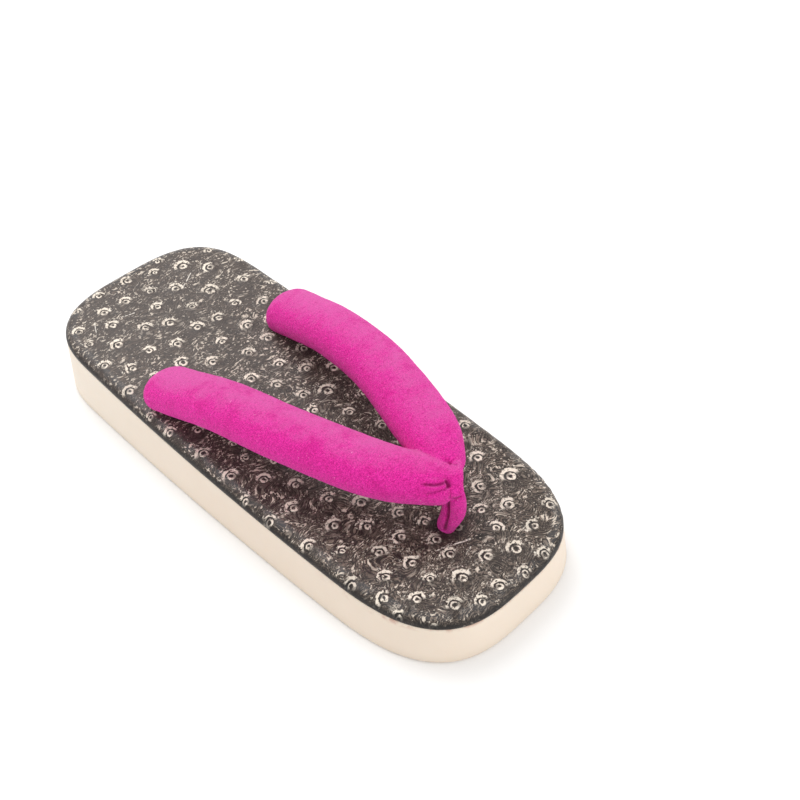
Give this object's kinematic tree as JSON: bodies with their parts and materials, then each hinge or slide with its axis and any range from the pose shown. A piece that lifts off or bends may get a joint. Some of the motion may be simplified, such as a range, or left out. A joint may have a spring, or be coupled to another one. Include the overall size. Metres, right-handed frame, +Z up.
{
  "type": "thonged wedge sandal",
  "caption": "Thonged sandal with a flat wedge foam sole, padded embossed footbed and stuffed plush straps that join in a V at the toe thong.",
  "frame": {"origin": "on the floor, under the middle of the sandal's length and width", "axes": "+Z up, +Y towards the heel, -Y towards the toe, X across the foot"},
  "size_m": [0.1018, 0.2426, 0.0559],
  "materials": {
    "cream_foam": "smooth matte moulded foam",
    "embossed_cover": "dark semi-gloss embossed cover with pale quill marks",
    "magenta_plush": "short matte plush"
  },
  "bodies": {
    "root": {"sole": "cream_foam", "footbed": "embossed_cover", "straps": "magenta_plush", "toe_thong": "magenta_plush"}
  },
  "joints": []
}
